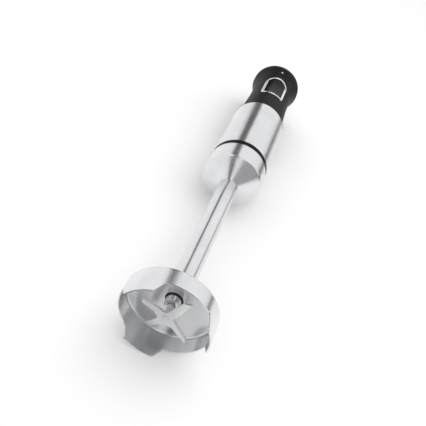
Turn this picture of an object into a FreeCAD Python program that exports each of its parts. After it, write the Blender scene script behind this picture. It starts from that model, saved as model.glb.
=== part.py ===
import FreeCAD, Part
import math
import os
import Sketcher

# An immersion blender with a twist-lock blending foot, built as an assembly of separate pieces.
# It lies on its back: +Y runs from the bell to the speed dial and +Z points to the power button.
# A "station" is a distance along the tool from the tips of the bell's feet. A direction around
# the tool is an angle in degrees from +Z that grows towards +X. Lengths are in millimetres.

doc = FreeCAD.newDocument("immersion_blender")
sheet = doc.addObject("Spreadsheet::Sheet", "Sizes")
sub_parts = []


# ---------------------------------------------------------------- sizes tied to the sheet

class Size:
    """A length or angle that holds its number and the expression that ties it to the sheet."""

    def __init__(self, number, text):
        self.number = number
        self.text = text

    def joined(self, sign, other, number):
        return Size(number, f"({self.text} {sign} {other.text})")

    def __add__(self, other):
        other = tied(other)
        return self.joined("+", other, self.number + other.number)

    def __sub__(self, other):
        other = tied(other)
        return self.joined("-", other, self.number - other.number)

    def __mul__(self, other):
        other = tied(other)
        return self.joined("*", other, self.number * other.number)

    def __truediv__(self, other):
        other = tied(other)
        return self.joined("/", other, self.number / other.number)

    def __neg__(self):
        return tied(0) - self


def tied(value):
    """Return the value as a Size, so that plain numbers and sheet sizes can be mixed."""
    return value if isinstance(value, Size) else Size(value, f"({value:.6f})")


def size(name, number, note):
    """Write one driving dimension into the sheet and return it."""
    size.row += 1
    sheet.set(f"A{size.row}", note)
    sheet.set(f"B{size.row}", str(number))
    sheet.setAlias(f"B{size.row}", name)
    return Size(number, f"Sizes.{name}")


size.row = 0

# Fits and clearances
fit_gap = size("fit_gap", 0.05, "radial gap of a seated or running fit")
moving_gap = size("moving_gap", 0.3, "gap between pieces that move past each other")
seat_gap = size("seat_gap", 0.05, "gap between two faces that seat on each other")

# Overall form
housing_radius = size("housing_radius", 30.0, "outside of the steel housing sleeve")
housing_length = size("housing_length", 89.9, "steel housing sleeve")
sleeve_wall = size("sleeve_wall", 0.8, "steel sheet of the sleeve and the cone shroud")
bell_radius = size("bell_radius", 37.25, "outside of the bell guard")
bell_depth = size("bell_depth", 25.0, "feet tips to the shoulder of the bell")
bell_wall = size("bell_wall", 1.0, "steel sheet of the bell")
bell_round = size("bell_round", 3.0, "outer rounding of the bell's shoulder")
dome_rise = size("dome_rise", 4.8, "height of the shallow dome above the shoulder")
tube_radius = size("tube_radius", 9.8, "outside of the foot tube")
tube_wall = size("tube_wall", 0.8, "steel of the foot tube")
tube_length = size("tube_length", 155.2, "foot tube between the dome and the cone")
collar_height = size("collar_height", 6.0, "collar of the bell around the tube")
cone_height = size("cone_height", 12.0, "cone between the tube and the shroud")
cone_round = size("cone_round", 2.2, "rounding between the cone and the shroud")
shroud_length = size("shroud_length", 23.1, "straight part of the cone shroud")
seam_recess = size("seam_recess", 0.6, "step of the black seam below the steel")
flange_width = size("flange_width", 3.2, "black flange of the foot in the seam")
collar_width = size("collar_width", 3.1, "black lock collar in the seam")

# Rim of the bell
mid_level = size("mid_level", 9.6, "rim height between the feet")
rim_round = size("rim_round", 3.0, "rounding of the rim's corners")

# Blade and its bearings
blade_station = size("blade_station", 9.4, "underside of the blade's hub")
blade_thickness = size("blade_thickness", 1.5, "sheet of the blade")
blade_hub = size("blade_hub", 6.4, "radius of the blade's hub")
blade_flat = size("blade_flat", 8.0, "radius up to which the blade is flat")
low_arm_reach = size("low_arm_reach", 24.4, "tip radius of the arms bent to the mouth")
low_arm_drop = size("low_arm_drop", 3.4, "how far those tips stand below the hub")
high_arm_reach = size("high_arm_reach", 24.4, "tip radius of the arms bent to the dome")
high_arm_rise = size("high_arm_rise", 3.8, "how far those tips stand above the hub")
arm_root = size("arm_root", 8.0, "width of a blade arm at the hub")
arm_tip = size("arm_tip", 4.6, "width of a blade arm at its tip")
blade_turn = size("blade_turn", 28.0, "direction of the high arms")
shaft_radius = size("shaft_radius", 2.5, "blade shaft")
seal_radius = size("seal_radius", 7.3, "black shaft seal")
sleeve_radius = size("sleeve_radius", 6.2, "steel sleeve around the lower bush")
sleeve_drop = size("sleeve_drop", 6.0, "how far the sleeve stands into the bell")
bush_radius = size("bush_radius", 4.3, "outside of the bushes")
bush_length = size("bush_length", 25.0, "lower bush")

# Twist lock
spigot_radius = size("spigot_radius", 24.0, "spigot of the foot")
spigot_wall = size("spigot_wall", 2.2, "wall of the spigot")
spigot_length = size("spigot_length", 7.7, "spigot above its flange")
lug_reach = size("lug_reach", 2.0, "how far a lug stands out of the spigot")
lug_width = size("lug_width", 10.0, "width of a lug")
lug_height = size("lug_height", 3.0, "height of a lug")
lock_turn = size("lock_turn", 30.0, "turn between locked and free")
LUGS = 3

# Motor
shaft_motor = size("shaft_motor", 3.0, "motor shaft")
frame_wall = size("frame_wall", 1.5, "wall of the motor frame")
bearing_radius = size("bearing_radius", 8.0, "outside of the two bearings")
bearing_width = size("bearing_width", 4.8, "width of the two bearings")
mount_thickness = size("mount_thickness", 3.0, "rubber mount rings")
rotor_radius = size("rotor_radius", 15.0, "armature core")
rotor_length = size("rotor_length", 32.0, "armature core")
air_gap = size("air_gap", 0.6, "gap between armature and stator")
commutator_radius = size("commutator_radius", 8.5, "commutator")
fan_radius = size("fan_radius", 22.0, "cooling fan")
brush_width = size("brush_width", 7.6, "carbon brush across the shaft")
brush_height = size("brush_height", 6.6, "carbon brush along the shaft")

# Grip and its end
grip_wall = size("grip_wall", 2.2, "wall of the grip shells")
root_step = size("root_step", 3.0, "how far the grip starts inside the housing")
waist_step = size("waist_step", 5.6, "how far the waist lies inside the housing")
waist_place = size("waist_place", 59.8, "waist from the grip's start")
flare_step = size("flare_step", 5.0, "how far the start of the flare lies inside the housing")
flare_place = size("flare_place", 81.5, "start of the flare from the grip's start")
flare_mid_step = size("flare_mid_step", 3.0, "how far its middle lies inside the housing")
flare_mid_place = size("flare_mid_place", 95.5, "middle of the flare from the grip's start")
grip_length = size("grip_length", 106.6, "grip shells")
flange_thickness = size("flange_thickness", 1.45, "black flange on top of the sleeve")
dial_height = size("dial_height", 6.05, "speed dial above the grip")
dial_bore = size("dial_bore", 14.4, "bore of the speed dial")
gland_bore = size("gland_bore", 3.6, "cord inlet")
gland_proud = size("gland_proud", 0.8, "lip of the gland above the dial")

# Power button
button_place = size("button_place", 38.8, "straight edge of the bezel from the grip's start")
bezel_length = size("bezel_length", 46.5, "bezel along the tool")
bezel_width = size("bezel_width", 27.6, "bezel across the tool")
bezel_band = size("bezel_band", 2.5, "width of the bezel's band")
bezel_proud = size("bezel_proud", 0.9, "bezel above the grip")
bezel_depth = size("bezel_depth", 5.4, "underside of the bezel below the waist's surface")
button_proud = size("button_proud", 0.4, "button above the grip")
button_travel = size("button_travel", 2.0, "travel of the power button")
button_stem = size("button_stem", 1.3, "stem of the power button over the switch")
board_width = size("board_width", 27.0, "circuit board")

# Stations worked out from those sizes
dome_top = bell_depth + dome_rise
cone_station = dome_top + tube_length
shroud_station = cone_station + cone_height
seam_station = shroud_station + shroud_length
flange_top = seam_station + flange_width
collar_station = flange_top + moving_gap
sleeve_station = collar_station + collar_width
sleeve_top = sleeve_station + housing_length
grip_station = sleeve_top + flange_thickness + seat_gap * 2
grip_top = grip_station + grip_length
dial_station = grip_top + moving_gap
dial_top = dial_station + dial_height
tool_length = dial_top + gland_proud
frame_station = sleeve_station + 6.6
rotor_station = frame_station + 26.8
rotor_top = rotor_station + rotor_length
commutator_station = rotor_top + 8.5
bracket_station = commutator_station + 12.7
button_low = grip_station + button_place
button_middle = button_low + bezel_length / 2
bulkhead_station = grip_top - 11.8
inner_radius = housing_radius - sleeve_wall
grip_root = housing_radius - root_step
grip_waist = housing_radius - waist_step
flare_root = housing_radius - flare_step
flare_mid = housing_radius - flare_mid_step
bezel_floor = grip_waist - bezel_depth
button_floor = bezel_floor - 2.5
carrier_top = button_floor - 10.6
screw_stations = (grip_station + 9, bulkhead_station - 4.2)
frame_radius = inner_radius - fit_gap * 2
frame_bore = frame_radius - frame_wall
stator_radius = frame_bore - mount_thickness
stator_bore = rotor_radius + air_gap


# ---------------------------------------------------------------- building helpers

def sine(angle):
    return math.sin(math.radians(angle))


def cosine(angle):
    return math.cos(math.radians(angle))


def half_chord(radius, height):
    """Half the width of a circle at a height above its centre."""
    return Size(math.sqrt(radius.number ** 2 - height.number ** 2),
                f"sqrt({radius.text} * {radius.text} - {height.text} * {height.text})")


def bind(feature, property_name, value):
    """Give a property its value and tie it to the sheet."""
    value = tied(value)
    if property_name in feature.PropertiesList:
        setattr(feature, property_name, value.number)
    feature.setExpression(property_name, value.text)


def place(thing):
    """Put a piece that is drawn by stations where the finished tool lies."""
    bind(thing, "Placement.Base.y", -(tool_length / 2))
    bind(thing, "Placement.Base.z", bell_radius)


def new_body(label, keep=True):
    body = doc.addObject("PartDesign::Body", label)
    body.Label = label
    place(body)
    if keep:
        sub_parts.append(body)
    return body


def new_sketch(body, name, role="XY_Plane", turn=0, lift=0):
    """Attach a sketch to an origin plane of its body, turned about the tool's axis or lifted."""
    sketch = body.newObject("Sketcher::SketchObject", name)
    plane = next(f for f in body.Origin.OriginFeatures if f.Role == role)
    sketch.AttachmentSupport = [(plane, "")]
    sketch.MapMode = "FlatFace"
    rotation = FreeCAD.Rotation(FreeCAD.Vector(0, 1, 0), tied(turn).number)
    sketch.AttachmentOffset = FreeCAD.Placement(FreeCAD.Vector(), rotation)
    if isinstance(turn, Size):
        sketch.setExpression("AttachmentOffset.Rotation.Angle", turn.text)
    bind(sketch, "AttachmentOffset.Base.z", lift)
    return sketch


def tie(sketch, kind, where, value):
    """Add a dimension to a sketch and tie it to the sheet."""
    value = tied(value)
    index = sketch.addConstraint(Sketcher.Constraint(kind, *where, value.number))
    sketch.setExpression(f"Constraints[{index}]", value.text)


def tie_point(sketch, geometry, end, x, y):
    tie(sketch, "DistanceX", (-1, 1, geometry, end), x)
    tie(sketch, "DistanceY", (-1, 1, geometry, end), y)


def draw_circle(sketch, x, y, radius):
    centre = FreeCAD.Vector(tied(x).number, tied(y).number, 0)
    circle = sketch.addGeometry(Part.Circle(centre, FreeCAD.Vector(0, 0, 1), tied(radius).number))
    tie_point(sketch, circle, 3, x, y)
    tie(sketch, "Radius", (circle,), radius)


def draw_outline(sketch, points):
    """Draw a closed outline through points (x, y) or (x, y, corner radius)."""
    count = len(points)
    corners = [FreeCAD.Vector(tied(p[0]).number, tied(p[1]).number, 0) for p in points]
    rounds = [tied(p[2]) if len(p) == 3 else None for p in points]
    leaving, reaching, arcs = list(corners), list(corners), {}
    for i, corner in enumerate(corners):
        if rounds[i] is None:
            continue
        back = (corners[i - 1] - corner).normalize()
        ahead = (corners[(i + 1) % count] - corner).normalize()
        half = back.getAngle(ahead) / 2
        reaching[i] = corner + back * (rounds[i].number / math.tan(half))
        leaving[i] = corner + ahead * (rounds[i].number / math.tan(half))
        centre = corner + (back + ahead).normalize() * (rounds[i].number / math.sin(half))
        left_turn = (back * -1).cross(ahead).z > 0
        first, last = (reaching[i], leaving[i]) if left_turn else (leaving[i], reaching[i])
        circle = Part.Circle(centre, FreeCAD.Vector(0, 0, 1), rounds[i].number)
        angles = [math.atan2(p.y - centre.y, p.x - centre.x) for p in (first, last)]
        arcs[i] = (Part.ArcOfCircle(circle, angles[0], angles[1]), left_turn)
    lines = [sketch.addGeometry(Part.LineSegment(leaving[i], reaching[(i + 1) % count]))
             for i in range(count)]
    for i, point in enumerate(points):
        before, after = lines[i - 1], lines[i]
        if i not in arcs:
            sketch.addConstraint(Sketcher.Constraint("Coincident", before, 2, after, 1))
            tie_point(sketch, after, 1, point[0], point[1])
            continue
        shape, left_turn = arcs[i]
        arc = sketch.addGeometry(shape)
        start, finish = (1, 2) if left_turn else (2, 1)
        sketch.addConstraint(Sketcher.Constraint("Tangent", before, 2, arc, start))
        sketch.addConstraint(Sketcher.Constraint("Tangent", arc, finish, after, 1))
        tie(sketch, "Radius", (arc,), rounds[i])
        corner = sketch.addGeometry(Part.Point(corners[i]), True)
        sketch.addConstraint(Sketcher.Constraint("PointOnObject", corner, 1, before))
        sketch.addConstraint(Sketcher.Constraint("PointOnObject", corner, 1, after))
        tie_point(sketch, corner, 1, point[0], point[1])


def revolve(body, name, *outlines, turn=360, back=False, start=90, cut=False):
    """Turn outlines of (radius, station) points about the tool's axis, to add or to cut."""
    sketch = new_sketch(body, name + "_profile", turn=start - 90)
    for points in outlines:
        draw_outline(sketch, points)
    feature = body.newObject("PartDesign::Groove" if cut else "PartDesign::Revolution", name)
    feature.Profile = sketch
    feature.ReferenceAxis = (sketch, ["V_Axis"])
    feature.Angle = turn
    feature.Reversed = back
    return feature


def pad(body, name, sketch, length, back=False, both=False):
    feature = body.newObject("PartDesign::Pad", name)
    feature.Profile = sketch
    bind(feature, "Length", length)
    feature.Reversed = back
    feature.Midplane = both
    return feature


def pocket(body, name, sketch, length=None, back=False, both=False):
    """Cut a sketch to a depth, or right through when no length is given."""
    feature = body.newObject("PartDesign::Pocket", name)
    feature.Profile = sketch
    if length is None:
        feature.Type = "ThroughAll"
    else:
        bind(feature, "Length", length)
    feature.Reversed = back
    feature.Midplane = both
    return feature


def repeat_around(body, name, feature, count):
    pattern = body.newObject("PartDesign::PolarPattern", name)
    pattern.Originals = [feature]
    axis = next(f for f in body.Origin.OriginFeatures if f.Role == "Y_Axis")
    pattern.Axis = (axis, [""])
    pattern.Angle = 360
    pattern.Occurrences = count
    body.Tip = pattern
    return pattern


def mirror_sideways(body, name, feature):
    mirrored = body.newObject("PartDesign::Mirrored", name)
    mirrored.Originals = [feature]
    plane = next(f for f in body.Origin.OriginFeatures if f.Role == "YZ_Plane")
    mirrored.MirrorPlane = (plane, [""])
    body.Tip = mirrored
    return mirrored


def section_sketch(body, name, station):
    """A sketch across the tool at a station: its x is +X and its y is +Z, and it faces -Y."""
    return new_sketch(body, name, role="XZ_Plane", lift=-tied(station))


def rectangle(low_x, low_y, high_x, high_y):
    return [(low_x, low_y), (high_x, low_y), (high_x, high_y), (low_x, high_y)]


def ring(label, inner, outer, low, high, keep=True):
    """A plain ring or tube about the tool's axis."""
    body = new_body(label, keep)
    revolve(body, label + "_turned", rectangle(inner, low, outer, high))
    return body


def boolean(kind, label, base, tool, keep=True):
    result = doc.addObject("Part::" + kind, label)
    result.Label = label
    result.Base = base
    result.Tool = tool
    if keep:
        sub_parts.append(result)
    return result


# ---------------------------------------------------------------- blending foot

FEET = 3
FOOT_TURN = 76


def rim_gap(body):
    """Cut the gap between two feet out of the bell's wall. Angles are from the middle of the gap."""
    foot_edge = mid_level / 12
    half = [(43, -foot_edge), (39, foot_edge, rim_round), (30.5, mid_level, rim_round)]
    left = [(-angle, *rest) for angle, *rest in half]
    steps = left + half[::-1]
    across = [bell_radius * sine(angle) for angle, *rest in steps]
    points = [(across[0], -rim_round)]
    points += [(x, *rest) for x, (angle, *rest) in zip(across, steps)]
    points += [(across[-1], -rim_round)]
    sketch = new_sketch(body, "gap_outline", turn=FOOT_TURN + 180 / FEET)
    draw_outline(sketch, points[::-1])
    return pocket(body, "gap", sketch, back=True)


def bell_guard():
    """Drawn steel bell with three feet, a gap between each two, and a collar for the tube."""
    body = new_body("bell_guard")
    inside = bell_radius - bell_wall
    collar_bore = tube_radius + fit_gap
    collar_radius = collar_bore + bell_wall
    collar_top = dome_top + collar_height
    seal_bore = seal_radius + fit_gap
    revolve(body, "drawn_bell", [
        (inside, 0), (bell_radius, 0), (bell_radius, bell_depth, bell_round),
        (collar_radius, dome_top, 2), (collar_radius, collar_top), (collar_bore, collar_top),
        (collar_bore, dome_top), (seal_bore, dome_top), (seal_bore, dome_top - bell_wall),
        (inside, bell_depth - bell_wall, bell_round - bell_wall)])
    repeat_around(body, "gaps", rim_gap(body), FEET)


def foot_tube():
    ring("foot_tube", tube_radius - tube_wall, tube_radius, dome_top + seat_gap, cone_station + 1.5)


def foot_shroud():
    """Steel cone that widens from the tube to the housing's radius."""
    body = new_body("foot_shroud")
    neck = tube_radius + fit_gap
    wall_up = sleeve_wall * 1.16
    revolve(body, "spun_cone", [
        (neck, cone_station), (housing_radius, shroud_station, cone_round),
        (housing_radius, seam_station), (inner_radius, seam_station),
        (inner_radius, shroud_station + sleeve_wall / 2, cone_round - sleeve_wall),
        (neck, cone_station + wall_up)])


def foot_liner():
    """Black inner part of the foot: it holds the upper bush and carries the twist-lock lugs."""
    body = new_body("foot_liner")
    hub = bush_radius + fit_gap + 3
    bore = bush_radius + fit_gap
    low = shroud_station + 2
    outside = inner_radius - fit_gap * 2
    wall_inside = outside - 1.5
    spigot_inside = spigot_radius - spigot_wall
    groove = spigot_radius - 1.1
    revolve(body, "moulding", [
        (bore, low - 2.2), (hub, low - 2.2), (hub, low), (outside, low),
        (outside, seam_station + seat_gap), (housing_radius - seam_recess, seam_station + seat_gap),
        (housing_radius - seam_recess, flange_top), (spigot_radius, flange_top),
        (spigot_radius, flange_top + 0.9), (groove, flange_top + 0.9),
        (groove, flange_top + 2.4), (spigot_radius, flange_top + 2.4),
        (spigot_radius, flange_top + spigot_length), (spigot_inside, flange_top + spigot_length),
        (spigot_inside, flange_top - 2), (wall_inside, seam_station - 2),
        (wall_inside, low + 1.6), (hub, low + 1.6), (hub, low + 4.2), (bore, low + 4.2)])
    lug_station = sleeve_station + moving_gap
    sketch = section_sketch(body, "lug_outline", lug_station)
    draw_outline(sketch, rectangle(-(lug_width / 2), spigot_radius - 1,
                                   lug_width / 2, spigot_radius + lug_reach))
    lug = pad(body, "lug", sketch, lug_height, back=True)
    repeat_around(body, "lugs", lug, LUGS)


def foot_seals():
    """O-ring on the spigot, and the two seals around the blade shaft."""
    o_ring = new_body("spigot_o_ring")
    sketch = new_sketch(o_ring, "cord_section")
    section = 0.62
    draw_circle(sketch, spigot_radius - 0.4, flange_top + 1.65, section)
    turned = o_ring.newObject("PartDesign::Revolution", "turned")
    turned.Profile = sketch
    turned.ReferenceAxis = (sketch, ["V_Axis"])
    turned.Angle = 360

    seal = new_body("shaft_seal")
    inside = sleeve_radius + fit_gap
    seat = tube_radius - tube_wall - fit_gap
    low = dome_top - bell_wall - 0.4
    revolve(seal, "moulded", [
        (inside, low), (seal_radius, low, 0.3), (seal_radius, dome_top + seat_gap),
        (seat, dome_top + seat_gap), (seat, dome_top + 1.7), (inside, dome_top + 1.7)])

    low = dome_top - sleeve_drop - bell_wall
    ring("lip_seal", shaft_radius + fit_gap, bush_radius, low + 1.3, low + 4.3)


def foot_bearings():
    """Steel sleeve with the lower bush in it, a guide half way up the tube, and the upper bush."""
    seat = tube_radius - tube_wall - fit_gap
    low = dome_top - sleeve_drop - bell_wall
    bush_low = low + 4.4
    bush_top = bush_low + bush_length
    bush_seat = bush_radius + fit_gap
    sleeve = new_body("seal_sleeve")
    revolve(sleeve, "turned", [
        (shaft_radius + 0.7, low), (sleeve_radius, low, 0.8), (sleeve_radius, dome_top + 1.8),
        (seat, dome_top + 1.8), (seat, dome_top + 4.2), (sleeve_radius, dome_top + 4.2),
        (sleeve_radius, bush_top + 0.5), (bush_seat, bush_top + 0.5), (bush_seat, low + 1.2),
        (shaft_radius + 0.7, low + 1.2)])
    running = shaft_radius + fit_gap
    ring("lower_bush", running, bush_radius, bush_low, bush_top)
    middle = (dome_top + cone_station) / 2
    ring("shaft_guide", running, seat, middle - 5, middle + 5)
    ring("upper_bush", running, bush_radius, shroud_station, shroud_station + 6)


# ---------------------------------------------------------------- drive line

def arm_ribbon(label, turn, reach, rise):
    """Bent strip of blade sheet through the hub, seen from the side, for one pair of arms."""
    body = new_body(label, keep=False)
    sketch = new_sketch(body, label + "_side", turn=turn - 90)
    low, high = blade_station, blade_station + blade_thickness
    draw_outline(sketch, [
        (-reach, low + rise), (-blade_flat, low, 6), (blade_flat, low, 6), (reach, low + rise),
        (reach, high + rise), (blade_flat, high, 6), (-blade_flat, high, 6),
        (-reach, high + rise)])
    pad(body, label + "_strip", sketch, arm_root * 1.5, both=True)
    return body


def blade():
    """Four-armed blade: two arms bend to the mouth and two to the dome."""
    plan = new_body("blade_plan", keep=False)
    depth = high_arm_rise + low_arm_drop + 12
    base = blade_station - low_arm_drop - 4
    sketch = section_sketch(plan, "hub_outline", base)
    draw_circle(sketch, 0, 0, blade_hub)
    pad(plan, "hub_disc", sketch, depth, back=True)
    for name, turn, reach in (("high", blade_turn, high_arm_reach),
                              ("low", blade_turn + 90, low_arm_reach)):
        for side in (0, 180):
            arm = new_sketch(plan, f"{name}_arm_{side}", role="XZ_Plane", lift=-base)
            spin = turn.number + side
            along = (sine(spin), cosine(spin))
            across = (cosine(spin), -sine(spin))
            corners = [(1, arm_root / 2), (reach, arm_tip / 2), (reach - 3.4, -(arm_tip / 2)),
                       (1, -(arm_root / 2))]
            draw_outline(arm, [(tied(x) * along[0] + y * across[0],
                                tied(x) * along[1] + y * across[1]) for x, y in corners])
            pad(plan, f"{name}_arm_{side}_pad", arm, depth, back=True)
    high = arm_ribbon("high_ribbon", blade_turn, high_arm_reach, high_arm_rise)
    low = arm_ribbon("low_ribbon", blade_turn + 90, low_arm_reach, -low_arm_drop)
    ribbons = boolean("Fuse", "ribbons", high, low, keep=False)
    solid = boolean("Common", "blade_solid", ribbons, plan, keep=False)
    bore = ring("blade_bore", 0, shaft_radius + fit_gap, base, base + depth, keep=False)
    boolean("Cut", "blade", solid, bore)


def shafts():
    lower = new_body("blade_shaft")
    low, high = blade_station - 0.8, shroud_station + 9
    revolve(lower, "turned", [(0, low), (shaft_radius, low, 0.4), (shaft_radius, high), (0, high)])
    ring("blade_washer", shaft_radius + fit_gap, 4.2, blade_station + blade_thickness + seat_gap,
         blade_station + blade_thickness + 1.2)
    motor = new_body("motor_shaft")
    low, high = frame_station - 8.7, bracket_station + 8.2
    revolve(motor, "turned", [(0, low), (shaft_motor, low), (shaft_motor, high, 0.5), (0, high)])


def cross_outline(length, width):
    """Twelve-sided outline of a cross with equal bars."""
    long, short = length / 2, width / 2
    return [(-short, -long), (short, -long), (short, -short), (long, -short), (long, short),
            (short, short), (short, long), (-short, long), (-short, short), (-long, short),
            (-long, -short), (-short, -short)]


def couplings():
    """Cross-shaped tongue of the motor coupling in the socket of the foot coupling."""
    cross_length, cross_width = tied(11.0), tied(3.2)
    tongue = tied(8.0)
    hub_station = flange_top - 1
    socket_top = hub_station - 0.8
    foot = new_body("foot_coupling")
    low, shaft_end = shroud_station + 7.2, shroud_station + 9.05
    bore = shaft_radius + fit_gap
    revolve(foot, "turned", [(bore, low), (7.9, low), (7.9, socket_top), (0, socket_top),
                             (0, shaft_end), (bore, shaft_end)])
    sketch = section_sketch(foot, "socket_outline", socket_top)
    draw_outline(sketch, cross_outline(cross_length + 0.4, cross_width + 0.4))
    pocket(foot, "socket", sketch, tongue, back=True)

    motor = new_body("motor_coupling")
    top = frame_station - 0.3
    bore = shaft_motor + fit_gap
    bore_end = frame_station - 8.75
    revolve(motor, "turned", [(0, hub_station), (6.5, hub_station), (6.5, top), (bore, top),
                              (bore, bore_end), (0, bore_end)])
    sketch = section_sketch(motor, "tongue_outline", hub_station)
    draw_outline(sketch, cross_outline(cross_length, cross_width))
    pad(motor, "tongue", sketch, tongue)


def armature():
    bore = shaft_motor + fit_gap
    core = ring("armature_core", bore, rotor_radius, rotor_station, rotor_top)
    sketch = section_sketch(core, "slot_outline", rotor_station)
    draw_circle(sketch, 0, rotor_radius - 0.9, 1.4)
    slot = pocket(core, "slot", sketch)
    repeat_around(core, "slots", slot, 12)

    windings = new_body("armature_windings")
    head = 6.4
    outer = rotor_radius - 1.6
    revolve(windings, "heads", [
        (bore, rotor_station - head, 1), (outer - 1, rotor_station - head, 2.5),
        (outer, rotor_station - seat_gap), (bore, rotor_station - seat_gap)], [
        (bore, rotor_top + seat_gap), (outer, rotor_top + seat_gap),
        (outer - 1, rotor_top + head, 2.5), (bore, rotor_top + head, 1)])

    bars = ring("commutator", bore, commutator_radius, commutator_station, commutator_station + 11)
    sketch = section_sketch(bars, "gap_outline", commutator_station)
    draw_outline(sketch, rectangle(-0.25, commutator_radius - 0.8, 0.25, commutator_radius + 0.5))
    gap = pocket(bars, "gap", sketch)
    repeat_around(bars, "gaps", gap, 12)


def cooling_fan():
    body = new_body("cooling_fan")
    bore = shaft_motor + fit_gap
    low, blade_height = frame_station + 7.5, 7.2
    plate = low + blade_height
    revolve(body, "hub_and_plate", [(bore, low - 1), (7, low - 1), (7, plate), (fan_radius, plate),
                                    (fan_radius, plate + 1.2), (bore, plate + 1.2)])
    sketch = section_sketch(body, "vane_outline", low)
    draw_outline(sketch, rectangle(-0.7, 6.5, 0.7, fan_radius - 0.4))
    vane = pad(body, "vane", sketch, blade_height + 0.4, back=True)
    repeat_around(body, "vanes", vane, 9)


# ---------------------------------------------------------------- motor body

def housing():
    """Brushed steel sleeve, the black flange on top of it, and the black lock collar below it."""
    ring("motor_housing", inner_radius, housing_radius, sleeve_station, sleeve_top)

    flange = new_body("housing_flange")
    low, high = sleeve_top + seat_gap, sleeve_top + seat_gap + flange_thickness
    spigot = sleeve_top - 4.5
    revolve(flange, "moulding", [
        (grip_root - 3.5, low), (frame_bore, low), (frame_bore, spigot), (frame_radius, spigot),
        (frame_radius, low), (housing_radius, low), (housing_radius, high), (grip_root - 3.5, high)])

    collar = new_body("lock_collar")
    mouth = spigot_radius + 0.4
    groove = spigot_radius + lug_reach + 1
    lip_top = sleeve_station
    top = frame_station - seat_gap
    revolve(collar, "moulding", [
        (mouth, collar_station), (housing_radius - seam_recess, collar_station),
        (housing_radius - seam_recess, sleeve_station - seat_gap),
        (frame_radius, sleeve_station - seat_gap), (frame_radius, top), (groove, top),
        (groove, lip_top), (mouth, lip_top)])
    sketch = section_sketch(collar, "entry_outline", collar_station - 1)
    width, deep = lug_width / 2 + 1.2, spigot_radius + lug_reach + 0.9
    turned = []
    for x, y in rectangle(-width, spigot_radius - 2, width, deep):
        turned.append((tied(x) * cosine(lock_turn.number) + y * sine(lock_turn.number),
                       y * cosine(lock_turn.number) - tied(x) * sine(lock_turn.number)))
    draw_outline(sketch, turned)
    entry = pocket(collar, "entry", sketch, collar_width + 1.5)
    repeat_around(collar, "entries", entry, LUGS)


def motor_frame():
    """Inner frame of the motor body, with the seat of the lower bearing."""
    body = new_body("motor_frame")
    seat = bearing_radius + fit_gap
    floor = frame_station + 2.2
    top = sleeve_top - 4.6
    revolve(body, "moulding", [
        (shaft_motor + 1, frame_station), (frame_radius, frame_station), (frame_radius, top),
        (frame_bore, top), (frame_bore, floor), (seat + 2.1, floor),
        (seat + 2.1, floor + 4), (seat, floor + 4), (seat, frame_station + 1.2),
        (shaft_motor + 1, frame_station + 1.2)])
    low = frame_station + 1.2 + seat_gap
    ring("lower_bearing", shaft_motor + fit_gap, bearing_radius, low, low + bearing_width)


POLE_HALF = 36
LEG_SWEEP = 18


def stator():
    """Laminated stator core, its two field coils, the rubber rings and the long motor screws."""
    low, high = rotor_station - 2, rotor_top + 2
    middle = (stator_radius + stator_bore) / 2
    coil_in, coil_out = stator_bore + 0.8, stator_radius - 1.2
    core = ring("stator_core", stator_bore, stator_radius, low, high)
    window = revolve(core, "window", rectangle(coil_in - 0.1, low - 1, coil_out + 0.1, high + 1),
                     start=90 - POLE_HALF - LEG_SWEEP - 0.5, turn=LEG_SWEEP + 1, cut=True)
    repeat_around(core, "windows", window, 2)
    window = revolve(core, "far_window",
                     rectangle(coil_in - 0.1, low - 1, coil_out + 0.1, high + 1),
                     start=90 + POLE_HALF - 0.5, turn=LEG_SWEEP + 1, cut=True)
    repeat_around(core, "far_windows", window, 2)
    sketch = section_sketch(core, "screw_hole_outline", low)
    for side in (1, -1):
        draw_circle(sketch, 0, middle * side, 1.8)
    pocket(core, "screw_holes", sketch)

    coils = new_body("field_coils")
    head = 7
    whole = revolve(coils, "coil", rectangle(coil_in, low - head, coil_out, high + head),
                    start=90 - POLE_HALF - LEG_SWEEP, turn=2 * (POLE_HALF + LEG_SWEEP))
    pole = revolve(coils, "pole_hole",
                   rectangle(coil_in - 1, low - 0.2, coil_out + 1, high + 0.2),
                   start=90 - POLE_HALF, turn=2 * POLE_HALF, cut=True)
    pattern = repeat_around(coils, "second_coil", whole, 2)
    pattern.Originals = [whole, pole]

    rings = new_body("mount_rings")
    inside, outside = stator_radius + fit_gap, frame_bore - fit_gap
    revolve(rings, "moulded", rectangle(inside, low + 3, outside, low + 8),
            rectangle(inside, high - 8, outside, high - 3))

    screws = new_body("motor_screws")
    plate = bracket_station + 3
    sketch = section_sketch(screws, "shank_outline", low - 2)
    for side in (1, -1):
        draw_circle(sketch, 0, middle * side, 1.6)
    pad(screws, "shanks", sketch, plate + 1 - low + 2, back=True)
    sketch = section_sketch(screws, "head_outline", plate + seat_gap)
    for side in (1, -1):
        draw_circle(sketch, 0, middle * side, 2.9)
    pad(screws, "heads", sketch, 2.2, back=True)


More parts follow.
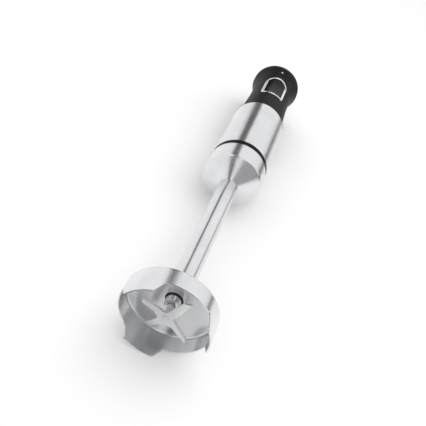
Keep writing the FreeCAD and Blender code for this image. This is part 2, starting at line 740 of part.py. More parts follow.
def rear_bracket():
    """End bracket with the upper bearing's seat and a skirt that holds the brush holders."""
    body = new_body("rear_bracket")
    seat = bearing_radius + fit_gap
    low, high = bracket_station, bracket_station + 3
    skirt_out = stator_radius
    skirt_in = skirt_out - 1.6
    skirt_low = commutator_station + 2
    rim = frame_bore - fit_gap * 2
    revolve(body, "moulding", [
        (shaft_motor + 1, low), (skirt_in, low), (skirt_in, skirt_low), (skirt_out, skirt_low),
        (skirt_out, low), (rim, low), (rim, high), (seat + 2.1, high),
        (seat + 2.1, high + 5.2), (seat, high + 5.2), (seat, high), (shaft_motor + 1, high)])
    middle = commutator_station + 6
    tall, wide = brush_height / 2 + 1.2, brush_width / 2 + 1.2
    sketch = new_sketch(body, "window_outline", role="YZ_Plane")
    draw_outline(sketch, rectangle(middle - tall, -wide, middle + tall, wide))
    pocket(body, "windows", sketch, both=True)
    sketch = section_sketch(body, "screw_hole_outline", low - 1)
    for side in (1, -1):
        draw_circle(sketch, 0, (stator_radius + stator_bore) / 2 * side, 1.8)
    pocket(body, "screw_holes", sketch, 5)
    ring("upper_bearing", shaft_motor + fit_gap, bearing_radius, high + seat_gap,
         high + seat_gap + bearing_width)


def spring(label, radius, wire, height, turns, spots, keep=True):
    """Coil springs of round wire, one at each (base point, direction) spot."""
    coils = []
    for number, (base, direction) in enumerate(spots):
        helix = doc.addObject("Part::Helix", f"{label}_line_{number}")
        bind(helix, "Radius", radius)
        bind(helix, "Height", height)
        bind(helix, "Pitch", tied(height) / turns)
        section = doc.addObject("Part::Circle", f"{label}_wire_{number}")
        bind(section, "Radius", wire)
        section.Placement = FreeCAD.Placement(FreeCAD.Vector(),
                                              FreeCAD.Rotation(FreeCAD.Vector(1, 0, 0), 90))
        bind(section, "Placement.Base.x", radius)
        coil = doc.addObject("Part::Sweep", f"{label}_{number}")
        coil.Sections = [section]
        coil.Spine = (helix, ["Edge1"])
        coil.Solid = True
        coil.Frenet = True
        coil.Placement = FreeCAD.Placement(
            FreeCAD.Vector(), FreeCAD.Rotation(FreeCAD.Vector(0, 0, 1), FreeCAD.Vector(*direction)))
        bind(coil, "Placement.Base.x", base[0])
        bind(coil, "Placement.Base.y", tied(base[1]) - tool_length / 2)
        bind(coil, "Placement.Base.z", tied(base[2]) + bell_radius)
        coils.append(coil)
    if len(coils) == 1:
        coils[0].Label = label
        sub_parts.append(coils[0])
        return
    group = doc.addObject("Part::Compound", label)
    group.Label = label
    group.Links = coils
    sub_parts.append(group)


def brush_gear():
    """Carbon brushes in brass holders with a spring behind each, on both sides of the shaft."""
    middle = commutator_station + 6
    tall, wide = brush_height / 2, brush_width / 2
    inner_end = commutator_radius + moving_gap
    outer_end = frame_bore - 1.4
    holder_low = inner_end + 2.4
    back_wall = 0.9
    gap = 0.1
    wall = 0.7

    holders = new_body("brush_holders")
    sketch = new_sketch(holders, "tube_outline", role="YZ_Plane", lift=holder_low)
    draw_outline(sketch, rectangle(middle - tall - wall, -(wide + wall),
                                   middle + tall + wall, wide + wall))
    tube = pad(holders, "tube", sketch, outer_end - holder_low)
    sketch = new_sketch(holders, "bore_outline", role="YZ_Plane", lift=holder_low)
    draw_outline(sketch, rectangle(middle - tall - gap, -(wide + gap),
                                   middle + tall + gap, wide + gap))
    bore = pocket(holders, "bore", sketch, outer_end - holder_low - back_wall, back=True)
    pattern = mirror_sideways(holders, "second_holder", tube)
    pattern.Originals = [tube, bore]

    brushes = new_body("carbon_brushes")
    brush_end = outer_end - back_wall - 5.4
    sketch = new_sketch(brushes, "block_outline", role="YZ_Plane", lift=inner_end)
    draw_outline(sketch, rectangle(middle - tall, -wide, middle + tall, wide))
    block = pad(brushes, "block", sketch, brush_end - inner_end)
    mirror_sideways(brushes, "second_brush", block)

    wire = 0.25
    spring("brush_springs", 2.4, wire, 4.6, 5,
           [((brush_end + 0.35, middle, 0), (1, 0, 0)), ((-(brush_end + 0.35), middle, 0), (-1, 0, 0))])


# ---------------------------------------------------------------- grip

WAIST_ROUND = 300
FLARE_ROUND = 60
SCREW_SEAT = 14


def grip_line(offset):
    """Outer line of the grip from the housing to the dial, moved outwards by an offset."""
    return [(grip_root + offset, grip_station),
            (grip_waist + offset, grip_station + waist_place, WAIST_ROUND),
            (flare_root + offset, grip_station + flare_place, FLARE_ROUND),
            (flare_mid + offset, grip_station + flare_mid_place, FLARE_ROUND),
            (housing_radius + offset, grip_top)]


def grip_form(label, offset):
    """Solid of the grip's outer form, used to trim what follows its surface."""
    body = new_body(label, keep=False)
    revolve(body, label + "_turned", [(0, grip_station), *grip_line(offset), (0, grip_top)])
    return body


def grip_shell(label, front):
    """Half of the grip, with its end wall around the dial's skirt and two screw posts."""
    body = new_body(label)
    wall_top = grip_top - grip_wall
    end_bore = dial_bore + 5.9
    inner = grip_line(-grip_wall)[:-1]
    end_inside = housing_radius - grip_wall * 1.35
    revolve(body, "shell", [*grip_line(tied(0)), (end_bore, grip_top), (end_bore, wall_top),
                            (end_inside, wall_top), *inner[::-1]], turn=180, back=front)
    sketch = new_sketch(body, "post_outline", lift=0)
    for station in screw_stations:
        draw_circle(sketch, 0, station, 3.2)
    pad(body, "posts", sketch, grip_root - grip_wall * 0.75, back=not front)
    sketch = new_sketch(body, "screw_hole_outline", lift=0)
    for station in screw_stations:
        draw_circle(sketch, 0, station, 1.3 if front else 1.8)
    if front:
        pocket(body, "screw_holes", sketch, 12, back=True)
        sketch = new_sketch(body, "button_outline", lift=0)
        draw_outline(sketch, d_outline(fit_gap))
        pocket(body, "button_opening", sketch, back=True)
    else:
        pocket(body, "screw_holes", sketch)
        sketch = new_sketch(body, "head_outline", lift=-SCREW_SEAT)
        for station in screw_stations:
            draw_circle(sketch, 0, station, 3.0)
        pocket(body, "head_recesses", sketch)


def d_outline(grow):
    """D-shaped outline of the bezel, round at its end and straight at the housing's side."""
    half = bezel_width / 2 + grow
    low, high = button_low - grow, button_low + bezel_length + grow
    return [(-half, low, 1.5), (half, low, 1.5), (half, high, half * 0.97),
            (-half, high, half * 0.97)]


def grip_screws():
    body = new_body("grip_screws")
    sketch = new_sketch(body, "shank_outline", lift=-SCREW_SEAT)
    for station in screw_stations:
        draw_circle(sketch, 0, station, 1.25)
    pad(body, "shanks", sketch, SCREW_SEAT + 10)
    sketch = new_sketch(body, "head_outline", lift=-SCREW_SEAT)
    for station in screw_stations:
        draw_circle(sketch, 0, station, 2.7)
    pad(body, "heads", sketch, 2.2, back=True)


def button_bezel():
    """Chrome band around the power button, trimmed to the grip's form."""
    band = new_body("bezel_band_prism", keep=False)
    sketch = new_sketch(band, "outer_outline", lift=bezel_floor)
    draw_outline(sketch, d_outline(tied(0)))
    draw_outline(sketch, d_outline(-bezel_band))
    pad(band, "band", sketch, grip_root)
    boolean("Common", "button_bezel", band, grip_form("bezel_form", bezel_proud))


def power_button():
    """D-shaped push button with a flange below the bezel and a stem over the switch."""
    prism = new_body("button_prism", keep=False)
    sketch = new_sketch(prism, "face_outline", lift=button_floor)
    draw_outline(sketch, d_outline(-bezel_band - moving_gap))
    pad(prism, "face", sketch, grip_root)
    sketch = new_sketch(prism, "flange_outline", lift=button_floor)
    draw_outline(sketch, d_outline(-bezel_band + 1.2))
    pad(prism, "flange", sketch, 2)
    sketch = new_sketch(prism, "stem_outline", lift=button_floor)
    draw_circle(sketch, 0, button_middle, 2)
    pad(prism, "stem", sketch, button_stem, back=True)
    boolean("Common", "power_button", prism, grip_form("button_form", button_proud))


def switch_parts():
    """Carrier across the grip with the micro switch, its plunger and the button's spring."""
    top = carrier_top
    carrier = new_body("switch_carrier")
    half = half_chord(grip_waist - grip_wall, top) - 0.9
    sketch = new_sketch(carrier, "plate_outline", lift=top)
    draw_outline(sketch, rectangle(-half, button_low - 1, half, button_low + bezel_length))
    pad(carrier, "plate", sketch, 2, back=True)
    sketch = new_sketch(carrier, "rail_outline", lift=top - 2)
    for side in (1, -1):
        low, high = (half - 3, half) if side == 1 else (-half, -half + 3)
        draw_outline(sketch, rectangle(low, button_low - 1, high, button_low + bezel_length))
    pad(carrier, "rails", sketch, 3, back=True)

    switch = new_body("micro_switch")
    switch_top = button_floor - button_stem - button_travel - moving_gap
    sketch = new_sketch(switch, "case_outline", lift=top + seat_gap)
    draw_outline(sketch, rectangle(-5, button_middle - 10, 5, button_middle + 10))
    pad(switch, "case", sketch, switch_top - top - seat_gap)
    sketch = new_sketch(switch, "hole_outline", lift=switch_top)
    draw_circle(sketch, 0, button_middle, 1.7)
    pocket(switch, "plunger_hole", sketch, switch_top - top - 2)

    plunger = new_body("switch_plunger")
    plunger_top = button_floor - button_stem - seat_gap
    sketch = new_sketch(plunger, "pin_outline", lift=plunger_top)
    draw_circle(sketch, 0, button_middle, 1.3)
    pad(plunger, "pin", sketch, 4, back=True)

    wire = 0.35
    spring("button_spring", 2.6, wire, button_floor - top - wire * 3, 6,
           [((0, button_low + 8, top + wire * 1.5), (0, 0, 1))])


def circuit():
    """Speed control board with its capacitor, choke, triac and heat sink."""
    board = new_body("circuit_board")
    top = tied(-8.0)
    half = board_width / 2
    low, high = grip_station + 16, bulkhead_station - 14
    sketch = new_sketch(board, "board_outline", lift=top)
    draw_outline(sketch, rectangle(-half, low, half, high))
    pad(board, "board", sketch, 1.6, back=True)

    capacitor = new_body("capacitor")
    sketch = new_sketch(capacitor, "case_outline", lift=top + seat_gap)
    draw_outline(sketch, rectangle(-half + 1, low + 3, -half + 11, low + 21))
    pad(capacitor, "case", sketch, 9)

    choke = new_body("choke")
    sketch = new_sketch(choke, "coil_outline", lift=top + seat_gap)
    draw_circle(sketch, -half + 6.5, low + 30, 5.5)
    draw_circle(sketch, -half + 6.5, low + 30, 2.2)
    pad(choke, "coil", sketch, 5)

    triac = new_body("triac")
    sketch = new_sketch(triac, "case_outline", lift=top + seat_gap)
    draw_outline(sketch, rectangle(3, low + 17.5, 11, low + 21))
    pad(triac, "case", sketch, 9)

    sink = new_body("heat_sink")
    sketch = new_sketch(sink, "fin_outline", lift=top + seat_gap)
    comb = [(2, low + 17.4), (12, low + 17.4)]
    for fin in range(4):
        edge = low + 15.9 - fin * 3.2
        comb += [(12, edge), (4, edge), (4, edge - 1.7), (12, edge - 1.7)]
    draw_outline(sketch, comb[:-2] + [(2, low + 15.9 - 3 * 3.2)])
    pad(sink, "fins", sketch, 9)


def index_mark():
    """Small pale triangle on the flare that the dial's numbers are read against."""
    prism = new_body("mark_prism", keep=False)
    sketch = new_sketch(prism, "mark_outline", lift=grip_waist - 6)
    tip = grip_top - 5.5
    draw_outline(sketch, [(-1.3, tip - 2.6, 0.3), (1.3, tip - 2.6, 0.3), (0, tip, 0.3)])
    pad(prism, "mark", sketch, 20)
    outer = boolean("Common", "mark_solid", prism, grip_form("mark_form", tied(0.25)), keep=False)
    boolean("Cut", "index_mark", outer, grip_form("mark_seat", tied(0.02)))


# ---------------------------------------------------------------- end of the grip

def grip_end():
    """Bulkhead, speed dial, wiper and track of the speed control, end cap and cord gland."""
    boss = dial_bore - moving_gap
    stem = tied(8.9)
    cap_bore = gland_bore + 2.45
    neck = tied(11.5)
    shoulder = bulkhead_station + 2 + seat_gap
    ring("top_bulkhead", stem + fit_gap, flare_root - grip_wall, bulkhead_station,
         bulkhead_station + 2)

    cap = new_body("end_cap")
    lip = dial_top - 1.3
    revolve(cap, "moulding", [
        (cap_bore, bulkhead_station - 0.6), (stem, bulkhead_station - 0.6), (stem, shoulder),
        (neck, shoulder), (neck, grip_top - 3), (boss, grip_top - 0.5), (boss, lip),
        (boss + 1.8, lip), (boss + 1.8, dial_top, 0.5), (cap_bore, dial_top)])

    track = new_body("track_board")
    revolve(track, "board", rectangle(neck + fit_gap, shoulder, neck + 10, shoulder + 1.5))

    skirt_low = shoulder + 3.2
    wiper = ring("wiper_ring", dial_bore + 1, dial_bore + 5, skirt_low - 0.6, skirt_low - 0.05)
    sketch = section_sketch(wiper, "finger_outline", shoulder + 1.5 + moving_gap)
    draw_outline(sketch, rectangle(-1, dial_bore + 1.6, 1, dial_bore + 4.4))
    finger = pad(wiper, "finger", sketch, skirt_low - shoulder - 1.5 - moving_gap - 0.4, back=True)
    repeat_around(wiper, "fingers", finger, 3)

    dial = new_body("speed_dial")
    recess = boss + 1.8 + moving_gap
    revolve(dial, "moulding", [
        (dial_bore + 1.6, skirt_low), (dial_bore + 5.1, skirt_low), (dial_bore + 5.1, dial_station),
        (housing_radius, dial_station, 0.4), (housing_radius, dial_top, 1.6), (recess, dial_top),
        (recess, lip - moving_gap), (dial_bore, lip - moving_gap), (dial_bore, dial_station),
        (dial_bore + 1.6, dial_station)])
    sketch = section_sketch(dial, "flute_outline", dial_station + 1)
    draw_circle(sketch, 0, housing_radius + 0.5, 0.9)
    flute = pocket(dial, "flute", sketch)
    repeat_around(dial, "flutes", flute, 40)

    gland = new_body("cord_gland")
    gland_low = bulkhead_station
    outside = cap_bore - fit_gap
    revolve(gland, "moulding", [
        (gland_bore, gland_low), (outside, gland_low), (outside, dial_top + seat_gap),
        (outside + 1.8, dial_top + seat_gap), (outside + 1.8, tool_length, 0.5),
        (gland_bore, tool_length)])


# ---------------------------------------------------------------- build, check and write

def check_document():
    """Stop when an object failed, a shape is not sound, or a cut removed nothing."""
    for thing in doc.Objects:
        if "Invalid" in thing.State or "Error" in thing.State:
            raise RuntimeError(f"{thing.Name} of {thing.Label} failed: {thing.State}")
        if thing.TypeId in ("PartDesign::Pocket", "PartDesign::Groove"):
            if thing.Shape.Volume > thing.BaseFeature.Shape.Volume - 0.01:
                raise RuntimeError(f"{thing.Name} cuts nothing")
    for piece in sub_parts:
        if piece.Shape.isNull() or not piece.Shape.isValid() or not piece.Shape.Solids:
            raise RuntimeError(f"{piece.Label} has no sound shape")


def write_files():
    os.makedirs("parts", exist_ok=True)
    for piece in sub_parts:
        piece.Shape.exportStep(f"parts/{piece.Label}.step")
        print(f"{piece.Label:20s} {len(piece.Shape.Solids)} solids {piece.Shape.Volume:10.1f} mm3")


for build in (bell_guard, foot_tube, foot_shroud, foot_liner, foot_seals, foot_bearings,
              blade, shafts, couplings, armature, cooling_fan,
              housing, motor_frame, stator, rear_bracket, brush_gear,
              button_bezel, power_button, switch_parts, circuit, index_mark, grip_screws, grip_end):
    build()
grip_shell("grip_front", front=True)
grip_shell("grip_rear", front=False)
doc.recompute()
check_document()
write_files()
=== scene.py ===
"""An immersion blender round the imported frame: finishes, chrome band, button, spring, blade and studio.

Every length is in metres. The tool lies along Y, with its bell towards -Y and its power button up.
"""

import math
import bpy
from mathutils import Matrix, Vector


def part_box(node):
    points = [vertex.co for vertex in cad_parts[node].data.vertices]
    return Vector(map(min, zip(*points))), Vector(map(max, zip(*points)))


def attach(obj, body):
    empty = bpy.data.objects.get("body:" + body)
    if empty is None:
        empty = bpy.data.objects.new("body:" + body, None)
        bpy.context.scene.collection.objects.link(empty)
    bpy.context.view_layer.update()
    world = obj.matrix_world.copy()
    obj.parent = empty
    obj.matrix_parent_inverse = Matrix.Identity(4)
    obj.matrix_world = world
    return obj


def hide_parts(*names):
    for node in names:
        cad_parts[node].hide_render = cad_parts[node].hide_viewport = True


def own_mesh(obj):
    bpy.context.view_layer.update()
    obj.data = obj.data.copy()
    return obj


bl_info = {
    "name": "Immersion Blender",
    "version": (1, 0, 0),
    "blender": (4, 5, 0),
    "location": "3D View > Sidebar > Immersion Blender",
    "description": "Finishes, rounded pieces and a studio for an immersion blender",
    "category": "Add Mesh",
}

import bmesh
import bpy
import numpy as np
from bpy.props import FloatProperty, FloatVectorProperty, IntProperty, PointerProperty
from mathutils import Matrix, Quaternion, Vector
from mathutils.bvhtree import BVHTree

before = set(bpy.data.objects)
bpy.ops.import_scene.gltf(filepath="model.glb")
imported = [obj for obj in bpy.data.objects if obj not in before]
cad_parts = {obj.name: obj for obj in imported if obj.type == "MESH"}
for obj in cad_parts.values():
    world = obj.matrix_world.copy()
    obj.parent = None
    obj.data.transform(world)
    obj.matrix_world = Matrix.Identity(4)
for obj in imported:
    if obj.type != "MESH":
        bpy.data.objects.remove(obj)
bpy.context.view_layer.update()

MM = 0.001
# The height of the tool's axis over the floor.
AXIS_HEIGHT = (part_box("motor_housing")[0].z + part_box("motor_housing")[1].z) / 2
# The power button's stem reaches this far below its flange, and the flange is this thick.
STEM = 1.3 * MM
FLANGE = 2 * MM
STEM_RADIUS = 2 * MM
# How far apart the draped pieces have their points, along their outline and across the cap.
OUTLINE_SPACING = 1.5 * MM
CROWN_SPACING = 1.1 * MM
# The far end of the button's outline is this near to a half circle.
FAR_ROUNDNESS = 0.97
# How many places along the button the grip is measured at, and how far below the axis.
GRIP_PLACES = 24
GRIP_BELOW = 5 * MM


def linear(code):
    """The linear RGBA of an sRGB hex colour."""
    channels = [int(code[i:i + 2], 16) / 255 for i in (1, 3, 5)]
    return tuple(c / 12.92 if c <= 0.04045 else ((c + 0.055) / 1.055) ** 2.4 for c in channels) + (1.0,)


# ---------------------------------------------------------------- materials

def add_node(material, kind, inputs=None, **settings):
    """Adds one node with its settings. An input is a value, or another node's output to link to it."""
    tree = material.node_tree
    made = tree.nodes.new(kind)
    for name, value in settings.items():
        setattr(made, name, value)
    for key, value in (inputs or {}).items():
        if isinstance(value, bpy.types.NodeSocket):
            tree.links.new(value, made.inputs[key])
        else:
            made.inputs[key].default_value = value
    return made


def new_material(name):
    """An empty node material with its output and one Principled shader."""
    material = bpy.data.materials.new(name)
    material.use_nodes = True
    material.node_tree.nodes.clear()
    shader = add_node(material, "ShaderNodeBsdfPrincipled")
    add_node(material, "ShaderNodeOutputMaterial", {"Surface": shader.outputs["BSDF"]})
    return material, shader


def feed(material, shader, **inputs):
    """Sets or links the shader's sockets. An underscore stands for a space in a socket's name."""
    for name, value in inputs.items():
        socket = shader.inputs[name.replace("_", " ")]
        if isinstance(value, bpy.types.NodeSocket):
            material.node_tree.links.new(value, socket)
        else:
            socket.default_value = value


def pattern(material, size, detail=3.0):
    """A noise whose features have that size along X, Y and Z, in Object coordinates centred on the axis."""
    place = add_node(material, "ShaderNodeTexCoord")
    mapped = add_node(material, "ShaderNodeMapping", {
        "Vector": place.outputs["Object"],
        "Location": (0, 0, -AXIS_HEIGHT / size[2]),
        "Scale": [1 / length for length in size]})
    return add_node(material, "ShaderNodeTexNoise", {
        "Vector": mapped.outputs["Vector"], "Scale": 1.0, "Detail": detail}).outputs["Fac"]


def spread(material, fac, low, high):
    """The pattern's middle range stretched to run from low to high."""
    return add_node(material, "ShaderNodeMapRange", {
        "Value": fac, "From Min": 0.3, "From Max": 0.7, "To Min": low, "To Max": high}).outputs["Result"]


def tint(material, fac, dark, light):
    """A colour that runs from dark to light with the pattern."""
    # A Mix node has its A, B and Result once for each kind of data. These are the colour ones' numbers.
    colour_a, colour_b, colour_result = 6, 7, 2
    ramp = add_node(material, "ShaderNodeMix", {"Factor": spread(material, fac, 0.0, 1.0)}, data_type="RGBA")
    ramp.inputs[colour_a].default_value = linear(dark)
    ramp.inputs[colour_b].default_value = linear(light)
    return ramp.outputs[colour_result]


def relief(material, fac, depth):
    """A bump of that depth."""
    return add_node(material, "ShaderNodeBump", {
        "Height": fac, "Distance": depth, "Strength": 1.0}).outputs["Normal"]


def ring_tangent(material):
    """The direction round the tool's axis, which a lathe or a belt leaves its lines along."""
    place = add_node(material, "ShaderNodeTexCoord")
    centred = add_node(material, "ShaderNodeVectorMath", {
        0: place.outputs["Object"], 1: (0, 0, AXIS_HEIGHT)}, operation="SUBTRACT")
    around = add_node(material, "ShaderNodeVectorMath", {
        0: (0, 1, 0), 1: centred.outputs["Vector"]}, operation="CROSS_PRODUCT")
    return add_node(material, "ShaderNodeVectorTransform", {
        "Vector": around.outputs["Vector"]}, vector_type="VECTOR",
        convert_from="OBJECT", convert_to="WORLD").outputs["Vector"]


def ringed_steel(name, dark, light, gloss, line, stretch):
    """Stainless steel with fine rings round the axis, of that line width, which stretch its highlights."""
    ring_depth = 0.0006 * MM
    material, shader = new_material(name)
    rings = pattern(material, (40 * MM, line, 40 * MM), detail=4.0)
    handling = pattern(material, (14 * MM, 30 * MM, 14 * MM))
    feed(material, shader, Metallic=1.0, Anisotropic=stretch, Anisotropic_Rotation=0.25,
         Base_Color=tint(material, handling, dark, light),
         Roughness=spread(material, rings, *gloss),
         Normal=relief(material, rings, ring_depth),
         Tangent=ring_tangent(material))
    return material


def brushed_steel():
    """Brushed stainless sleeve steel: belt lines round the tube give soft bands of light along it."""
    return ringed_steel("brushed_stainless", "#dbdcde", "#e6e6e8", (0.21, 0.27), 0.5 * MM, 0.55)


def polished_steel():
    """Spun and polished stainless of the bell: a little sharper than the sleeve, with faint rings."""
    return ringed_steel("spun_stainless", "#dcddde", "#e7e7e9", (0.2, 0.26), 0.8 * MM, 0.3)


def metal(name, dark, light, gloss, grain, depth=0.001 * MM):
    """A worked metal whose grain has that size along X, Y and Z."""
    material, shader = new_material(name)
    worked = pattern(material, grain, detail=4.0)
    feed(material, shader, Metallic=1.0,
         Base_Color=tint(material, worked, dark, light),
         Roughness=spread(material, worked, *gloss),
         Normal=relief(material, worked, depth))
    return material


def blade_steel():
    """Ground blade steel: fine lines left by the grinding wheel make a pale satin flat."""
    return metal("ground_blade_steel", "#e9eaeb", "#f5f5f6", (0.42, 0.52), (6 * MM, 6 * MM, 0.4 * MM))


def chrome_band():
    """Chrome plating on a moulded ring: a near mirror with the faintest waves."""
    return metal("chrome_plate", "#e6e7e8", "#eeefef", (0.05, 0.1), (3 * MM, 3 * MM, 3 * MM), 0.004 * MM)


def shaft_steel():
    """Turned and ground shaft steel: a dull bright grey."""
    return metal("ground_shaft_steel", "#8a8b8e", "#a3a4a7", (0.22, 0.34), (8 * MM, 0.4 * MM, 8 * MM))


def spring_steel():
    """Drawn spring wire: a dark oily shine."""
    return metal("drawn_spring_wire", "#6f7073", "#8c8d90", (0.28, 0.4), (1 * MM, 1 * MM, 1 * MM))


def bush_bronze():
    """Sintered bronze: a brown matt metal with open pores that hold oil."""
    return metal("sintered_bronze", "#7d5a34", "#9c7446", (0.42, 0.6), (0.3 * MM,) * 3, 0.02 * MM)


def holder_brass():
    """Stamped brass strip: yellow with rolling lines."""
    return metal("stamped_brass", "#b08d4a", "#c7a765", (0.24, 0.36), (5 * MM, 0.4 * MM, 5 * MM))


def sink_aluminium():
    """Extruded aluminium: pale, with die lines."""
    return metal("extruded_aluminium", "#b4b6b9", "#cfd0d2", (0.3, 0.42), (0.4 * MM, 9 * MM, 0.4 * MM))


def layered(name, dark, light, gloss, pitch, along, metallic):
    """Even layers or turns of that pitch, stacked along one axis."""
    material, shader = new_material(name)
    place = add_node(material, "ShaderNodeTexCoord")
    # A Wave texture's bands along an axis repeat every pi / (10 * Scale), which is here the pitch.
    bands = add_node(material, "ShaderNodeTexWave", {
        "Vector": place.outputs["Object"], "Scale": math.pi / 10 / pitch, "Distortion": 0.4,
        "Detail": 2.0, "Detail Scale": 1.5},
        wave_type="BANDS", bands_direction=along).outputs["Fac"]
    feed(material, shader, Metallic=metallic,
         Base_Color=tint(material, bands, dark, light),
         Roughness=spread(material, bands, *gloss),
         Normal=relief(material, bands, pitch / 6))
    return material


def lamination():
    """Stacked electrical sheet: thin varnished steel layers with dark joints."""
    return layered("varnished_lamination", "#3f4246", "#6d7176", (0.35, 0.5), 0.5 * MM, "Y", 0.8)


def copper():
    """Enamelled copper wire: glossy red-brown turns laid side by side."""
    return layered("enamelled_copper", "#5e2a12", "#b0602d", (0.2, 0.34), 0.6 * MM, "X", 0.85)


# The specular level of the black mouldings. The usual 0.5 would lift them to grey under the white surround.
FAINT_SHINE = 0.08


def moulded(name, dark, light, gloss, grain, depth, **extra):
    """A moulded polymer with a fine spark-eroded texture and a slightly uneven gloss."""
    material, shader = new_material(name)
    texture = pattern(material, (grain,) * 3, detail=2.0)
    flow = pattern(material, (18 * MM, 24 * MM, 18 * MM))
    feed(material, shader,
         Base_Color=tint(material, flow, dark, light),
         Roughness=spread(material, texture, *gloss),
         Normal=relief(material, texture, depth), **extra)
    return material


def soft_grip():
    """Soft-touch thermoplastic rubber: near black and satin, with very little shine."""
    return moulded("soft_touch_rubber", "#161618", "#1e1e21", (0.42, 0.54), 0.35 * MM, 0.012 * MM,
                   Specular_IOR_Level=FAINT_SHINE)


def black_plastic():
    """Black ABS from a lightly textured mould: satin, a little glossier than the grip."""
    return moulded("satin_abs", "#111113", "#19191b", (0.32, 0.44), 0.3 * MM, 0.008 * MM,
                   Specular_IOR_Level=FAINT_SHINE)


def gloss_black():
    """Black ABS from a polished mould: glossy, with faint flow marks in its colour and gloss."""
    return moulded("polished_abs", "#0c0c0e", "#131316", (0.2, 0.3), 1.2 * MM, 0.004 * MM,
                   Specular_IOR_Level=FAINT_SHINE)


def index_print():
    """Pad-printed white ink: a small matt spot."""
    return moulded("pad_printed_ink", "#d9dadb", "#ededed", (0.45, 0.6), 0.2 * MM, 0.003 * MM)


def black_rubber():
    """Moulded nitrile rubber: black and dull."""
    return moulded("nitrile_rubber", "#0d0d0e", "#161617", (0.5, 0.68), 0.4 * MM, 0.01 * MM)


def guide_plastic():
    """Acetal: milky white and waxy."""
    return moulded("moulded_acetal", "#cfcdc4", "#dedcd4", (0.3, 0.42), 0.5 * MM, 0.004 * MM,
                   Subsurface_Weight=0.08, Subsurface_Scale=1 * MM)


def coupling_plastic():
    """Glass-filled nylon: dark grey with pale fibre flecks."""
    return moulded("glass_filled_nylon", "#2b2d30", "#3a3d41", (0.4, 0.58), 0.4 * MM, 0.015 * MM)


def frame_plastic():
    """Heat-proof polyester moulding of the motor frame: dull grey."""
    return moulded("polyester_moulding", "#54575b", "#63666b", (0.42, 0.56), 0.5 * MM, 0.01 * MM)


def carbon():
    """Pressed carbon brush: dark, with a graphite gleam."""
    return moulded("pressed_carbon", "#1c1d1f", "#2c2d30", (0.34, 0.55), 0.3 * MM, 0.02 * MM)


def plunger_red():
    """Red acetal plunger: clean and slightly glossy."""
    return moulded("red_acetal", "#8f1d17", "#a82a20", (0.28, 0.38), 0.5 * MM, 0.003 * MM)


def component_plastic():
    """Yellow film capacitor case: smooth cast epoxy."""
    return moulded("cast_epoxy_case", "#b98f22", "#caa033", (0.3, 0.42), 0.8 * MM, 0.006 * MM)


def choke_core():
    """Ferrite core under varnish: dark grey and fine-grained."""
    return moulded("varnished_ferrite", "#27282b", "#393a3e", (0.3, 0.45), 0.3 * MM, 0.01 * MM)


def triac_plastic():
    """Transfer-moulded package: matt black."""
    return moulded("moulded_package", "#141416", "#1f1f22", (0.45, 0.6), 0.3 * MM, 0.008 * MM)


def board_green():
    """Glass-epoxy circuit board under green solder resist: the woven glass shows faintly through."""
    return layered("solder_resist_board", "#0f3d24", "#1a5a35", (0.25, 0.36), 0.9 * MM, "DIAGONAL", 0.0)


FINISHES = {
    "brushed_steel": brushed_steel, "polished_steel": polished_steel, "blade_steel": blade_steel,
    "soft_grip": soft_grip, "black_plastic": black_plastic, "gloss_black": gloss_black,
    "chrome_band": chrome_band, "index_print": index_print, "black_rubber": black_rubber,
    "bush_bronze": bush_bronze, "guide_plastic": guide_plastic, "shaft_steel": shaft_steel,
    "coupling_plastic": coupling_plastic, "lamination": lamination, "copper": copper,
    "frame_plastic": frame_plastic, "holder_brass": holder_brass, "carbon": carbon,
    "spring_steel": spring_steel, "plunger_red": plunger_red, "board_green": board_green,
    "component_plastic": component_plastic, "choke_core": choke_core,
    "triac_plastic": triac_plastic, "sink_aluminium": sink_aluminium,
}
made_finishes = {}


def finish_of(slot):
    """The material of one of the record's slots, made once."""
    if slot not in made_finishes:
        made_finishes[slot] = FINISHES[slot]()
    return made_finishes[slot]


# ---------------------------------------------------------------- sizes a user would change

class ButtonSettings(bpy.types.PropertyGroup):
    """The chrome band round the power button, the button's cap, and its spring."""

    band_width: FloatProperty(
        name="Band", description="Width of the chrome band", default=2.5 * MM, unit="LENGTH")
    band_round: FloatProperty(
        name="Band Edge", description="How far the band's edges are rounded",
        default=0.9 * MM, unit="LENGTH")
    corner: FloatProperty(
        name="Corner", description="Radius of the two small corners", default=3.2 * MM, unit="LENGTH")
    cap_gap: FloatProperty(
        name="Gap", description="Gap between the band and the button", default=0.3 * MM, unit="LENGTH")
    cap_round: FloatProperty(
        name="Cap Edge", description="How far the cap's edge is rounded", default=0.8 * MM, unit="LENGTH")
    dish: FloatProperty(
        name="Dish", description="How far the cap is dished for the thumb", default=0.6 * MM, unit="LENGTH")
    wire: FloatProperty(
        name="Wire", description="Radius of the spring's wire", default=0.35 * MM, unit="LENGTH")
    turns: IntProperty(
        name="Turns", description="Turns of the spring", default=6)


class BladeSettings(bpy.types.PropertyGroup):
    """How the blade's arms are ground."""

    grind: FloatProperty(
        name="Grind", description="Width of the ground edge", default=0.9 * MM, unit="LENGTH")
    shortest: FloatProperty(
        name="Shortest", description="Edges shorter than this stay square", default=8 * MM, unit="LENGTH")


